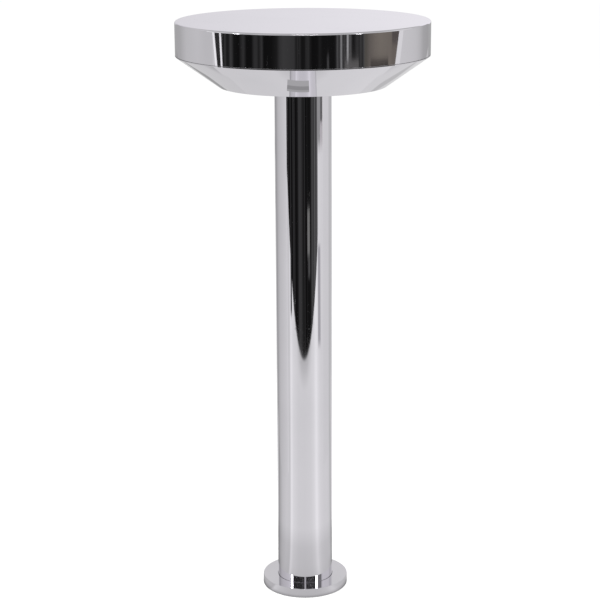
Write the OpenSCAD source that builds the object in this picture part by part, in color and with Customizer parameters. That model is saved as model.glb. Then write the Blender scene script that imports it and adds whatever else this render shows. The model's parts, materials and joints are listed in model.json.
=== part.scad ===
// Pedestal garden torch with a closed lid, polished sheet steel, millimetres.
// Origin: centre of the foot, on the ground. +Z is up, -Y is the front.

/* [Overall] */
// Height from the ground to the top of the lid
total_h = 661; // [500:1:900]
// Diameter of the head (lid and bowl rim)
head_d = 279.5; // [250:0.5:340]
// Height of the lid's skirt, from the seam to the top
rim_h = 36.6; // [33:0.1:45]
// Height of the bowl's cone below the seam
cone_h = 34.3; // [28:0.1:50]
// Diameter of the flat bottom of the bowl
cone_d = 186; // [184:0.5:220]

/* [Lid] */
// Sheet thickness of the lid
lid_t = 1.5; // [1:0.1:2.5]
// Outer radius of the lid's top edge
lid_edge_r = 2; // [1.5:0.1:4]
// Gap left between the lid's skirt and the bowl's shoulder
seam_gap = 0.3; // [0.2:0.1:1]
// Inner radius of the snuffer cup under the lid
snuffer_r = 31; // [30.5:0.1:36]
// Sheet thickness of the snuffer cup
snuffer_t = 0.8; // [0.6:0.1:1.5]
// Radius of the circle that the snuffer's studs stand on
stud_circle_r = 20; // [18:0.5:22]
// Thread radius of the studs
stud_r = 2; // [1.5:0.25:2.5]
// Number of studs
stud_count = 3; // [3:1:6]

/* [Bowl] */
// Sheet thickness of the bowl
bowl_t = 1.5; // [1:0.1:2]
// Height of the straight lip below the seam
bowl_lip = 0.8; // [0.5:0.1:2]
// Thickness of the silicone trim on the bowl's edge
seal_t = 1.3; // [0.8:0.1:1.5]
// Depth of the trim's legs
seal_leg = 6; // [4:0.5:8]
// Clearance between the trim and the lid's skirt
seal_gap = 0.45; // [0.3:0.05:1]
// Radius of the doubler plate in the bowl
hub_r = 45; // [42:0.5:60]
// Thickness of the doubler plate
hub_t = 4; // [3:0.5:6]

/* [Burner plate] */
// Free height between the burner plate and the lid
lid_room = 18; // [15:0.5:22]
// Thickness of the burner plate
plate_t = 1.5; // [1:0.1:2.5]
// Clearance between the burner plate's edge and the trim that it is lifted through
plate_gap = 0.5; // [0.3:0.1:1.5]
// Radius of the hole that the burner comes through
plate_hole_r = 29.8; // [29:0.1:30.3]
// Radius of the two finger holes
finger_r = 11; // [8:0.5:13]
// Distance of the finger holes from the axis
finger_x = 82; // [70:1:100]
// Radius of the air holes
vent_r = 4; // [2.5:0.5:5]
// Radius of the circle of air holes
vent_circle_r = 50; // [44:1:60]
// Number of air holes
vent_count = 8; // [4:1:12]
// Width of the ledge that carries the plate
ledge_w = 7; // [5:0.5:10]
// Height of the ledge's leg
ledge_h = 6; // [4:0.5:8]
// Sheet thickness of the ledge
ledge_t = 1.5; // [1:0.1:2]

/* [Burner] */
// Outer radius of the knurled collar nut
collar_r = 27; // [25:0.25:28]
// Height of the collar nut
collar_h = 13.6; // [12:0.1:16]
// Thickness of the collar nut's top
collar_top_t = 2.5; // [2:0.1:4]
// Radius of the hole in the collar nut's top
collar_hole_r = 12; // [10:0.5:14]
// Number of knurl grooves
knurl_count = 40; // [24:1:60]
// Radius of a knurl groove
knurl_r = 0.9; // [0.5:0.1:1.2]
// Rise of the collar nut in one turn
collar_pitch = 1.5; // [1:0.25:2]
// Turns that the collar nut makes
collar_turns = 3; // [2:1:3]
// Outer radius of the canister's neck
neck_r = 21.5; // [20:0.25:22]
// Wall of the neck
neck_wall = 3; // [2:0.25:4]
// Thickness of the neck's flange
neck_flange_t = 1.5; // [1:0.1:2]
// Width of the neck's flange outside the neck
neck_flange_w = 4; // [3:0.25:6]
// Thickness of the neck's sealing washer
washer_t = 1; // [0.5:0.1:2]
// Thickness of the wick holder's disc
holder_t = 1.5; // [1:0.1:2.5]
// Radius of the wick
wick_r = 6.3; // [5:0.1:7]
// Wall of the wick tube
wick_tube_wall = 1; // [0.6:0.1:1.5]
// Height of the wick tube above the collar nut
tube_show = 3.5; // [2:0.1:5]
// Height of the wick above its tube
wick_show = 2.5; // [1.5:0.1:4]
// Length that the wick can be drawn up
wick_travel = 3.5; // [2:0.1:4]
// Space kept above the wick when all of it is raised
wick_clear = 1.2; // [0.8:0.1:2]
// Length of the wick tube below the holder's disc
tube_tail = 9; // [5:0.5:10]

/* [Canister] */
// Clearance between the cradle's lip and the foot of the bowl's wall
cradle_margin = 5.2; // [3:0.1:12]
// Sheet thickness of the canister
canister_t = 1; // [0.6:0.1:1.5]
// Depth of the roof's rolled seam
seam_h = 5; // [3:0.5:8]
// Height of the rubber cradle under the canister
cradle_h = 7.1; // [5.5:0.1:9]
// Width of the cradle's floor
cradle_w = 16; // [10:0.5:25]
// Height of the cradle's lip beside the canister
cradle_lip_h = 4; // [2:0.5:5]
// Thickness of the cradle's lip
cradle_lip_t = 3; // [2:0.25:3.5]
// Distance of the wick's lower end from the canister's floor
wick_end = 2; // [1:0.5:4]

/* [Column] */
// Outer diameter of the column tube
column_d = 63.5; // [58:0.5:66]
// Wall of the column tube
column_wall = 2; // [1.5:0.1:3]
// Height of the plugs in the tube's ends
plug_h = 20; // [18:0.5:40]
// Thickness of the gasket between column and bowl
column_gasket_t = 1; // [0.5:0.1:2]
// Radius of the hole through the plugs
plug_hole_r = 8; // [5:0.5:9]

/* [Base] */
// Diameter of the base cover
cover_d = 98.5; // [96:0.5:130]
// Sheet thickness of the base cover
cover_t = 1; // [0.8:0.1:1.5]
// Radius of the cover's top edge
cover_edge_r = 1; // [0.8:0.1:1.4]
// Clearance between the cover and the plate inside it
cover_gap = 1; // [0.5:0.1:1.5]
// Thickness of the steel base plate
base_t = 8; // [6:0.5:12]
// Thickness of the rubber pad under the base
pad_t = 1.5; // [1:0.1:3]
// Radius of the anchor holes
anchor_r = 2.75; // [2:0.25:3]
// Radius of the anchor holes' countersinks
anchor_head_r = 5.4; // [4.5:0.1:5.5]
// Number of anchor holes
anchor_count = 4; // [3:1:6]

/* [Fasteners] */
// Thread radius of the screws into the plugs
screw_r = 3; // [2:0.25:3]
// Head radius of those screws
screw_head_r = 5.8; // [5:0.1:6]
// Radius of the circle that the screws stand on
screw_circle_r = 18; // [16:0.5:20]
// Length that the screws reach into a plug
screw_grip = 13; // [8:0.5:15]
// Number of screws in each plug
screw_count = 3; // [3:1:4]

/* [Clearances] */
// Gap between a lifted or turned piece and its seat
seat_gap = 0.3; // [0.2:0.05:0.5]
// Gap between the base cover and its seat, and the ground
cover_seat_gap = 0.2; // [0.1:0.05:0.4]
// Gap between the base cover's hole and the column
cover_slip = 0.4; // [0.3:0.1:0.8]
// Gap between round faces of pieces fixed together
fit_gap = 0.1; // [0.05:0.05:0.2]

/* [Hidden] */
$fn = 96;
cut = 1; // how far a cutting shape runs past what it cuts
arc_steps = 8;
steel = "silver";
polished = "gainsboro";
brass_tone = "goldenrod";
rubber_tone = "dimgray";

// radii
head_r = head_d / 2;
cone_r = cone_d / 2;
column_r = column_d / 2;
bore_r = column_r - column_wall;
plug_r = bore_r - fit_gap;
lid_in_r = head_r - lid_t;
seal_out_r = lid_in_r - seal_gap;
stand_r = seal_out_r - seal_t;       // outer face of the bowl's upstand
stand_in_r = stand_r - bowl_t;
seal_in_r = stand_in_r - fit_gap - seal_t; // the plate and the canister are lifted out through this
plate_r = seal_in_r - plate_gap;
ledge_out_r = stand_in_r - fit_gap;
cover_r = cover_d / 2;
base_r = cover_r - cover_t - cover_gap;
anchor_circle_r = (column_r + base_r) / 2;
tube_in_r = wick_r + seat_gap;
tube_out_r = tube_in_r + wick_tube_wall;
neck_in_r = neck_r - neck_wall;
collar_in_r = neck_r + seat_gap + 0.1;

// heights, from the ground up to the bowl
base_top = pad_t + base_t;
cover_h = base_top + cover_seat_gap + cover_t;
seam_z = total_h - rim_h;
bowl_z = seam_z - cone_h;
bowl_floor = bowl_z + bowl_t;
column_top = bowl_z - column_gasket_t;
hub_top = bowl_floor + hub_t;

// heights, from the lid down to the canister
lid_under = total_h - lid_t;
snuffer_under = lid_under - snuffer_t;
collar_rise = collar_pitch * collar_turns;
wick_top = snuffer_under - wick_clear - collar_rise - wick_travel;
tube_top = wick_top - wick_show;
collar_top = tube_top - tube_show;
collar_under = collar_top - collar_top_t;
collar_z = collar_top - collar_h;
holder_top = collar_under - seat_gap;
holder_z = holder_top - holder_t;
washer_top = holder_z - seat_gap;
neck_top = washer_top - washer_t;
neck_flange_top = collar_z - 3 * seat_gap;
roof_top = neck_flange_top - neck_flange_t;
canister_z = bowl_floor + cradle_h + seat_gap;
canister_floor = canister_z + canister_t;
roof_z = roof_top - canister_t;
stand_top = lid_under - seat_gap - seal_t;
plate_top = lid_under - lid_room;
plate_z = plate_top - plate_t;
ledge_top = plate_z - seat_gap;
snuffer_z = plate_top + seat_gap;

// the bowl's wall leans out by this much for each millimetre of height
cone_slope = (head_r - cone_r) / (cone_h - bowl_lip);
cone_skew = bowl_t * sqrt(1 + cone_slope * cone_slope);
function bowl_in_r(z) = cone_r + (z - bowl_z) * cone_slope - cone_skew;
cradle_r = bowl_in_r(bowl_floor) - cradle_margin;
canister_r = cradle_r - cradle_lip_t - seat_gap;

// sizes of small pieces
nut_h = 1.6 * stud_r;
nut_r = 2 * stud_r;
stud_len = snuffer_t + nut_h + 0.3;
stud_weld_t = 0.5;
head_h = screw_head_r - screw_r;
socket_r = 0.6 * screw_r;
thread_gap = fit_gap;
shell_corner = 3;

// Points of a quarter arc of radius r about [x, y], from angle a to angle b
function arc(x, y, r, a, b) =
  [for (i = [0:arc_steps]) let (t = a + (b - a) * i / arc_steps) [x + r * cos(t), y + r * sin(t)]];

// A ring of rectangular section
module ring(r_in, r_out, z0, z1) {
  translate([0, 0, z0]) difference() {
    cylinder(r = r_out, h = z1 - z0);
    translate([0, 0, -cut]) cylinder(r = r_in, h = z1 - z0 + 2 * cut);
  }
}

module disc(r, z0, z1) {
  translate([0, 0, z0]) cylinder(r = r, h = z1 - z0);
}

// Copies of the children on a circle, the first one turned by start
module around(count, r, start = 0) {
  for (i = [0:count - 1]) rotate([0, 0, start + i * 360 / count]) translate([r, 0, 0]) children();
}

// A countersunk screw, its head flush with z = 0 and its shank pointing down
module countersunk_screw(len) {
  difference() {
    union() {
      translate([0, 0, -len]) cylinder(r = screw_r, h = len - head_h);
      translate([0, 0, -head_h]) cylinder(r1 = screw_r, r2 = screw_head_r, h = head_h);
    }
    translate([0, 0, -0.6 * head_h]) cylinder(r = socket_r, h = head_h, $fn = 6);
  }
}

// The space that such a screw takes, with a clearance all round
module screw_space(len, gap) {
  translate([0, 0, -len]) cylinder(r = screw_r + gap, h = len + cut);
  translate([0, 0, -head_h - gap]) cylinder(r1 = screw_r, r2 = screw_head_r + gap, h = head_h + gap);
  cylinder(r = screw_head_r + gap, h = cut);
}

// ---- base ----

module base_pad() {
  color(rubber_tone) difference() {
    disc(base_r, 0, pad_t);
    around(anchor_count, anchor_circle_r, 45) translate([0, 0, -cut]) cylinder(r = anchor_r, h = pad_t + 2 * cut);
  }
}

module base_plate() {
  color(steel) difference() {
    disc(base_r, pad_t, base_top);
    around(anchor_count, anchor_circle_r, 45) {
      translate([0, 0, pad_t - cut]) cylinder(r = anchor_r, h = base_t + 2 * cut);
      translate([0, 0, base_top - (anchor_head_r - anchor_r)])
        cylinder(r1 = anchor_r, r2 = anchor_head_r, h = anchor_head_r - anchor_r);
    }
    around(screw_count, screw_circle_r) translate([0, 0, pad_t]) mirror([0, 0, 1])
      screw_space(base_t + cut, thread_gap);
  }
}

module base_screws() {
  color(steel) around(screw_count, screw_circle_r) translate([0, 0, pad_t]) mirror([0, 0, 1])
    countersunk_screw(base_t + screw_grip);
}

module base_cover() {
  hole_r = column_r + cover_slip;
  in_r = cover_r - cover_t;
  color(polished) rotate_extrude() polygon(concat(
    [[cover_r, cover_seat_gap]],
    arc(cover_r - cover_edge_r, cover_h - cover_edge_r, cover_edge_r, 0, 90),
    [[hole_r, cover_h], [hole_r, cover_h - cover_t], [in_r, cover_h - cover_t], [in_r, cover_seat_gap]]
  ));
}

// ---- column ----

// A plug for the tube's end from z0 up, with tapped holes for the screws
module plug(z0) {
  difference() {
    disc(plug_r, z0, z0 + plug_h);
    translate([0, 0, z0 - cut]) {
      cylinder(r = plug_hole_r, h = plug_h + 2 * cut);
      around(screw_count, screw_circle_r) cylinder(r = screw_r + thread_gap, h = plug_h + 2 * cut);
    }
  }
}

module bottom_plug() {
  color(steel) plug(base_top);
}

module column_tube() {
  color(polished) ring(bore_r, column_r, base_top, column_top);
}

module top_plug() {
  color(steel) plug(column_top - plug_h);
}

module column_gasket() {
  color(rubber_tone) difference() {
    disc(column_r - seat_gap, column_top, bowl_z);
    around(screw_count, screw_circle_r) translate([0, 0, column_top - cut])
      cylinder(r = screw_r + thread_gap, h = column_gasket_t + 2 * cut);
  }
}

// ---- bowl ----

module bowl_shell() {
  turn_z = bowl_z + (stand_in_r + cone_skew - cone_r) / cone_slope;
  color(polished) difference() {
    rotate_extrude() polygon([
      [0, bowl_z], [cone_r, bowl_z], [head_r, seam_z - bowl_lip], [head_r, seam_z],
      [stand_r, seam_z], [stand_r, stand_top], [stand_in_r, stand_top],
      [stand_in_r, turn_z], [bowl_in_r(bowl_floor), bowl_floor], [0, bowl_floor]
    ]);
    around(screw_count, screw_circle_r) translate([0, 0, bowl_z - cut])
      cylinder(r = screw_r + thread_gap, h = bowl_t + 2 * cut);
  }
}

module bowl_hub() {
  color(steel) difference() {
    disc(hub_r, bowl_floor, hub_top);
    around(screw_count, screw_circle_r) translate([0, 0, hub_top]) screw_space(hub_t + cut, thread_gap);
  }
}

module bowl_screws() {
  color(steel) around(screw_count, screw_circle_r) translate([0, 0, hub_top])
    countersunk_screw(hub_t + bowl_t + column_gasket_t + screw_grip);
}

module plate_ledge() {
  color(steel) {
    difference() {
      disc(ledge_out_r, ledge_top - ledge_h, ledge_top);
      disc(ledge_out_r - ledge_t, ledge_top - ledge_h - cut, ledge_top - ledge_t);
      disc(ledge_out_r - ledge_w, ledge_top - ledge_h - cut, ledge_top + cut);
    }
  }
}

module rim_seal() {
  low = stand_top - seal_leg;
  inner = stand_in_r - fit_gap;
  color(rubber_tone) rotate_extrude() polygon(concat(
    [[seal_out_r, low]],
    arc(seal_out_r - seal_t, stand_top, seal_t, 0, 90),
    arc(inner, stand_top, seal_t, 90, 180),
    [[seal_in_r, low], [inner, low], [inner, stand_top],
     [stand_r + fit_gap, stand_top], [stand_r + fit_gap, low]]
  ));
}

module canister_cradle() {
  top = bowl_floor + cradle_h;
  lip_in = canister_r + seat_gap;
  color(rubber_tone) rotate_extrude() polygon([
    [canister_r - cradle_w, bowl_floor], [cradle_r, bowl_floor],
    [cradle_r, top + cradle_lip_h], [lip_in, top + cradle_lip_h],
    [lip_in, top], [canister_r - cradle_w, top]
  ]);
}

// ---- canister ----

module canister_pan() {
  in_r = canister_r - canister_t;
  color(steel) rotate_extrude() polygon(concat(
    [[0, canister_z]],
    arc(canister_r - shell_corner, canister_z + shell_corner, shell_corner, -90, 0),
    [[canister_r, roof_z], [in_r, roof_z]],
    arc(canister_r - shell_corner, canister_z + shell_corner, shell_corner - canister_t, 0, -90),
    [[0, canister_floor]]
  ));
}

module canister_roof() {
  out_r = canister_r + fit_gap + canister_t;
  color(steel) difference() {
    disc(out_r, roof_top - seam_h, roof_top);
    disc(canister_r + fit_gap, roof_top - seam_h - cut, roof_z);
    disc(neck_in_r, roof_top - seam_h, roof_top + cut);
  }
}

module neck_ring() {
  color(brass_tone) {
    difference() {
      union() {
        disc(neck_r + neck_flange_w, roof_top, neck_flange_top);
        disc(neck_r, roof_top, neck_top);
      }
      disc(neck_in_r, roof_top - cut, neck_top + cut);
    }
  }
}

module neck_washer() {
  color(rubber_tone) ring(neck_in_r, neck_r, neck_top, washer_top);
}

// ---- burner ----

module wick_holder() {
  color(brass_tone) ring(tube_out_r + fit_gap, neck_r, holder_z, holder_top);
}

module wick_tube() {
  color(brass_tone) ring(tube_in_r, tube_out_r, holder_z - tube_tail, tube_top);
}

module collar_nut() {
  color(brass_tone) difference() {
    disc(collar_r, collar_z, collar_top);
    disc(collar_in_r, collar_z - cut, collar_under);
    disc(collar_hole_r, collar_under - cut, collar_top + cut);
    around(knurl_count, collar_r + 0.4 * knurl_r) translate([0, 0, collar_z - cut])
      cylinder(r = knurl_r, h = collar_h + 2 * cut, $fn = 24);
  }
}

module wick() {
  edge = 0.4 * wick_r;
  color("ivory") rotate_extrude() polygon(concat(
    [[0, canister_floor + wick_end], [wick_r, canister_floor + wick_end]],
    arc(wick_r - edge, wick_top - edge, edge, 0, 90),
    [[0, wick_top]]
  ));
}

// ---- burner plate ----

module burner_plate() {
  color(steel) difference() {
    disc(plate_r, plate_z, plate_top);
    translate([0, 0, plate_z - cut]) {
      cylinder(r = plate_hole_r, h = plate_t + 2 * cut);
      around(2, finger_x) cylinder(r = finger_r, h = plate_t + 2 * cut);
      around(vent_count, vent_circle_r, 180 / vent_count) cylinder(r = vent_r, h = plate_t + 2 * cut);
    }
  }
}

// ---- lid ----

module lid_shell() {
  low = seam_z + seam_gap;
  in_edge = lid_edge_r - lid_t / 2;
  color(polished) rotate_extrude() polygon(concat(
    [[head_r, low]],
    arc(head_r - lid_edge_r, total_h - lid_edge_r, lid_edge_r, 0, 90),
    [[0, total_h], [0, lid_under]],
    arc(lid_in_r - in_edge, lid_under - in_edge, in_edge, 90, 0),
    [[lid_in_r, low]]
  ));
}

module snuffer_cup() {
  color(steel) difference() {
    disc(snuffer_r + snuffer_t, snuffer_z, lid_under);
    disc(snuffer_r, snuffer_z - cut, snuffer_under);
    around(stud_count, stud_circle_r) translate([0, 0, snuffer_under - cut])
      cylinder(r = stud_r + thread_gap, h = snuffer_t + 2 * cut);
  }
}

module lid_studs() {
  color(steel) around(stud_count, stud_circle_r) translate([0, 0, lid_under - stud_len])
    cylinder(r = stud_r, h = stud_len);
}

module snuffer_nuts() {
  color(steel) around(stud_count, stud_circle_r) difference() {
    translate([0, 0, snuffer_under - nut_h]) cylinder(r = nut_r, h = nut_h, $fn = 6);
    translate([0, 0, snuffer_under - nut_h - cut]) cylinder(r = stud_r + thread_gap, h = nut_h + 2 * cut);
  }
}

base_pad();
base_plate();
base_screws();
base_cover();
bottom_plug();
column_tube();
top_plug();
column_gasket();
bowl_shell();
bowl_hub();
bowl_screws();
plate_ledge();
rim_seal();
canister_cradle();
canister_pan();
canister_roof();
neck_ring();
neck_washer();
wick_holder();
wick_tube();
collar_nut();
wick();
burner_plate();
lid_shell();
snuffer_cup();
lid_studs();
snuffer_nuts();
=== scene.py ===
import json
import math

import bmesh
import bpy
import numpy as np
from mathutils import Matrix, Vector


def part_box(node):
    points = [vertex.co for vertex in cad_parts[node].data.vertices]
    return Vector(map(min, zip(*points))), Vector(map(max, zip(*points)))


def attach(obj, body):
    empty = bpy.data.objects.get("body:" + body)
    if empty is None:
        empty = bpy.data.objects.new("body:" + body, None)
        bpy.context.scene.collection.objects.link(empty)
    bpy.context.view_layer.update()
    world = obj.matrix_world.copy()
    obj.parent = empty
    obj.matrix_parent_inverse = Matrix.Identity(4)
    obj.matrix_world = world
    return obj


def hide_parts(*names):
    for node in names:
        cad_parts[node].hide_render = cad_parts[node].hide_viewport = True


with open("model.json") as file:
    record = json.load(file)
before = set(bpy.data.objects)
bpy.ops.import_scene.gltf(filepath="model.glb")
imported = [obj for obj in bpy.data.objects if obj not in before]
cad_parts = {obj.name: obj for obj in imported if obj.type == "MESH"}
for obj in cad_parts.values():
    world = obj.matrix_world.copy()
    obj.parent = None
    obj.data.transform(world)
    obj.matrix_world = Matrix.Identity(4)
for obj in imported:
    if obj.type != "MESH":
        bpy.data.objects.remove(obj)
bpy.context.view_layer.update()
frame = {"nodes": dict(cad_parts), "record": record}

bodyOf = {node: body for body, nodes in frame["record"]["behaviour"]["bodies"].items() for node in nodes}
mm = 0.001
scene = bpy.context.scene
print("frame loaded:", len(frame["nodes"]), "nodes")

# The camera stands in front of the torch and looks a little down on it: its place in metres, its angles
# in degrees and its lens in mm.
cameraSet = {"place": (0.0, -1.881, 0.850), "down": 15.03, "turn": 0.138, "roll": -0.3, "lens": 102.75}

cameraData = bpy.data.cameras.new("camera")
cameraData.lens = cameraSet["lens"]
camera = bpy.data.objects.new("camera", cameraData)
scene.collection.objects.link(camera)
camera.matrix_world = (
    Matrix.Translation(cameraSet["place"])
    @ Matrix.Rotation(math.radians(cameraSet["turn"]), 4, "Z")
    @ Matrix.Rotation(math.radians(90 - cameraSet["down"]), 4, "X")
    @ Matrix.Rotation(math.radians(cameraSet["roll"]), 4, "Z")
)
scene.camera = camera
scene.view_settings.view_transform = "Standard"


def put(tree, kind, ins=None, **props):  # one shader node; ins holds values or sockets to link
    made = tree.nodes.new("ShaderNode" + kind)
    for key, value in props.items():
        setattr(made, key, value)
    for key, value in (ins or {}).items():
        if isinstance(value, bpy.types.NodeSocket):
            tree.links.new(value, made.inputs[key])
        else:
            made.inputs[key].default_value = value
    return made


def calc(tree, how, a, b=0.0, c=0.0):
    return put(tree, "Math", {0: a, 1: b, 2: c}, operation=how).outputs[0]


def times(tree, a, b):
    return calc(tree, "MULTIPLY", a, b)


def spread(tree, value, low, high, toLow=0.0, toHigh=1.0):  # low..high becomes toLow..toHigh, clamped
    ins = {"Value": value, "From Min": low, "From Max": high, "To Min": toLow, "To Max": toHigh}
    return put(tree, "MapRange", ins).outputs[0]


def past(tree, value, edge, soft):  # 0 below the edge and 1 past it, softly
    return spread(tree, value, edge - soft, edge + soft)


def within(tree, value, edge, soft):  # 1 below the edge and 0 past it, softly
    return spread(tree, value, edge + soft, edge - soft)


def between(tree, value, low, high, soft):  # 1 from low to high and 0 outside, softly
    return times(tree, past(tree, value, low, soft), within(tree, value, high, soft))


def lowered(tree, mask, least):  # 1 outside the mask, and least where it is whole
    return spread(tree, mask, 0.0, 1.0, 1.0, least)


def mixed(tree, amount, first, second):  # two colours
    return put(tree, "Mix", {0: amount, 6: first, 7: second}, data_type="RGBA").outputs[2]


def blended(tree, amount, first, second):  # two values
    return put(tree, "Mix", {0: amount, 2: first, 3: second}).outputs[0]


def ramp(tree, value, stops):  # stops gives a grey or a colour at each of its values, in rising order
    low, high = min(stops), max(stops)
    made = put(tree, "ValToRGB", {0: spread(tree, value, low, high)})
    parts = made.color_ramp.elements
    for index, (at, tone) in enumerate(stops.items()):
        part = parts[index] if index < 2 else parts.new(1.0)
        part.position = (at - low) / (high - low)
        part.color = (*tone, 1) if isinstance(tone, tuple) else (tone, tone, tone, 1)
    return made.outputs[0]


def fromAxis(tree, parts):  # the distance from the Z axis
    flat = put(tree, "CombineXYZ", {0: parts[0], 1: parts[1]}).outputs[0]
    return put(tree, "VectorMath", {0: flat}, operation="LENGTH").outputs["Value"]


def noise(tree, place, scale, detail=2.0, rough=0.5):
    ins = {"Vector": place, "Scale": scale, "Detail": detail, "Roughness": rough}
    return put(tree, "TexNoise", ins).outputs[0]


def stretched(tree, place, x, y, z, turn=0.0):  # the place scaled along each axis, turned about Z first
    turned = put(tree, "Mapping", {"Vector": place, "Rotation": (0, 0, turn)}).outputs[0]
    return put(tree, "VectorMath", {0: turned, 1: (x, y, z)}, operation="MULTIPLY").outputs[0]


def startGroup(name, inputs, outputs):
    group = bpy.data.node_groups.new(name, "ShaderNodeTree")
    for label, kind, value in inputs:
        socket = group.interface.new_socket(name=label, in_out="INPUT", socket_type="NodeSocket" + kind)
        if value is not None:
            socket.default_value = value
    for label, kind in outputs:
        group.interface.new_socket(name=label, in_out="OUTPUT", socket_type="NodeSocket" + kind)
    return group, group.nodes.new("NodeGroupInput").outputs, group.nodes.new("NodeGroupOutput").inputs


def use(tree, group, **ins):
    made = tree.nodes.new("ShaderNodeGroup")
    made.node_tree = group
    for key, value in ins.items():
        if isinstance(value, bpy.types.NodeSocket):
            tree.links.new(value, made.inputs[key])
        else:
            made.inputs[key].default_value = value
    return made.outputs


def makeTurnedLines():
    # lines round the axis, as a lathe or a polishing wheel leaves them: noise that changes
    # with the distance from the axis and the height only
    inputs = [("Place", "Vector", None), ("Pitch", "Float", 900.0)]
    group, ins, outs = startGroup("turnedLines", inputs, [("Lines", "Float")])
    parts = put(group, "SeparateXYZ", {0: ins["Place"]}).outputs
    place = put(group, "CombineXYZ", {
        0: times(group, fromAxis(group, parts), ins["Pitch"]),
        1: times(group, parts[2], ins["Pitch"]),
    })
    group.links.new(noise(group, place.outputs[0], 1.0, detail=3.0, rough=0.6), outs["Lines"])
    return group


def makeBrushedLines():
    # strokes along X: noise stretched along it
    inputs = [("Place", "Vector", None), ("Along", "Float", 12.0), ("Across", "Float", 1500.0)]
    group, ins, outs = startGroup("brushedLines", inputs, [("Lines", "Float")])
    parts = put(group, "SeparateXYZ", {0: ins["Place"]}).outputs
    place = put(group, "CombineXYZ", {
        0: times(group, parts[0], ins["Along"]),
        1: times(group, parts[1], ins["Across"]),
        2: times(group, parts[2], ins["Across"]),
    })
    group.links.new(noise(group, place.outputs[0], 1.0, detail=3.0, rough=0.65), outs["Lines"])
    return group


# what hands and cloths leave on metal: soft patches of film, and hairline scratches in two directions,
# each a noise with its own scales along X, Y and Z and its own turn
handlingValues = {"film": (0.42, 0.68), "soft": 0.05,
                  "strokes": ((9, 1100, 60, 0.5), (1300, 14, 90, -0.35))}


def makeHandling():
    v = handlingValues
    inputs = [("Place", "Vector", None), ("Size", "Float", 14.0), ("Scratching", "Float", 0.69)]
    group, ins, outs = startGroup("handling", inputs, [("Film", "Float"), ("Scratch", "Float")])
    film = noise(group, ins["Place"], ins["Size"], detail=4.0, rough=0.55)
    group.links.new(spread(group, film, *v["film"]), outs["Film"])
    each = [noise(group, stretched(group, ins["Place"], *stroke), 1.0, detail=1.0) for stroke in v["strokes"]]
    both = calc(group, "MAXIMUM", *each)
    most = calc(group, "ADD", ins["Scratching"], v["soft"])
    group.links.new(spread(group, both, ins["Scratching"], most), outs["Scratch"])
    return group


# dust settles on what faces up: the normal's Z times patchy noise and fine grains
dustValues = {"facing": (0.35, 0.9), "patches": 35.0, "patchShare": (0.35, 0.7, 0.2, 1.0), "grains": 2600.0,
              "grainShare": (0.45, 0.62, 0.35, 1.0), "tone": (0.36, 0.33, 0.29, 1)}


def makeDust():
    v = dustValues
    inputs = [("Place", "Vector", None), ("Amount", "Float", 0.5)]
    group, ins, outs = startGroup("dust", inputs, [("Dust", "Float")])
    up = put(group, "SeparateXYZ", {0: put(group, "NewGeometry").outputs["Normal"]}).outputs[2]
    patches = spread(group, noise(group, ins["Place"], v["patches"], detail=4.0), *v["patchShare"])
    grains = spread(group, noise(group, ins["Place"], v["grains"], detail=1.0), *v["grainShare"])
    settled = times(group, spread(group, up, *v["facing"]), times(group, patches, grains))
    group.links.new(times(group, settled, ins["Amount"]), outs["Dust"])
    return group


# heat and soot from the flame, by the distance from the axis: soot, blue, straw, then bare metal
heatValues = {
    "tints": {0.0: (0.30, 0.28, 0.26), 0.28: (0.42, 0.44, 0.52), 0.42: (0.50, 0.44, 0.46),
              0.58: (0.66, 0.52, 0.34), 0.78: (0.70, 0.64, 0.52), 1.0: (1.0, 1.0, 1.0)},
    "soot": (0.34, 0.0), "patches": 28.0, "wander": (0.3, 0.7, -0.14, 0.14),
}


def makeHeat():
    v = heatValues
    inputs = [("Place", "Vector", None), ("Reach", "Float", 0.08), ("Bare", "Color", (0.6, 0.6, 0.6, 1))]
    group, ins, outs = startGroup("heat", inputs, [("Color", "Color"), ("Soot", "Float")])
    out = fromAxis(group, put(group, "SeparateXYZ", {0: ins["Place"]}).outputs)
    wander = spread(group, noise(group, ins["Place"], v["patches"], detail=3.0), *v["wander"])
    share = calc(group, "ADD", calc(group, "DIVIDE", out, ins["Reach"]), wander)
    tint = ramp(group, share, v["tints"])
    coloured = put(group, "Mix", {0: 1.0, 6: ins["Bare"], 7: tint}, data_type="RGBA", blend_type="MULTIPLY")
    group.links.new(coloured.outputs[2], outs["Color"])
    group.links.new(spread(group, share, *v["soot"]), outs["Soot"])
    return group


turnedLines, brushedLines, handling = makeTurnedLines(), makeBrushedLines(), makeHandling()
dust, heat = makeDust(), makeHeat()


def startMaterial(name):
    made = bpy.data.materials.new(name)
    made.use_nodes = True
    made.node_tree.nodes.clear()
    return made, made.node_tree


def startFinish(name, **ins):
    made, tree = startMaterial(name)
    shader = put(tree, "BsdfPrincipled", {key.replace("_", " "): value for key, value in ins.items()})
    put(tree, "OutputMaterial", {0: shader.outputs[0]})
    return made, tree, shader, put(tree, "TexCoord").outputs["Object"]


def join(tree, shader, socket, value):
    tree.links.new(value, shader.inputs[socket])


def dent(tree, shader, height, depth, strength=1.0):  # a bump of this depth in metres
    made = put(tree, "Bump", {"Height": height, "Distance": depth, "Strength": strength})
    tree.links.new(made.outputs[0], shader.inputs["Normal"])


polishValues = {"steel": (0.845, 0.827, 0.872, 1), "filmed": (0.815, 0.800, 0.843, 1), "gloss": 0.022,
                "filmRough": 0.03, "scratchRough": 0.08, "scratching": 0.72, "waveDepth": 2e-5, "waves": 34.0,
                "lineShare": 0.06, "pitch": 1400.0, "film": 11.0}


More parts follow.
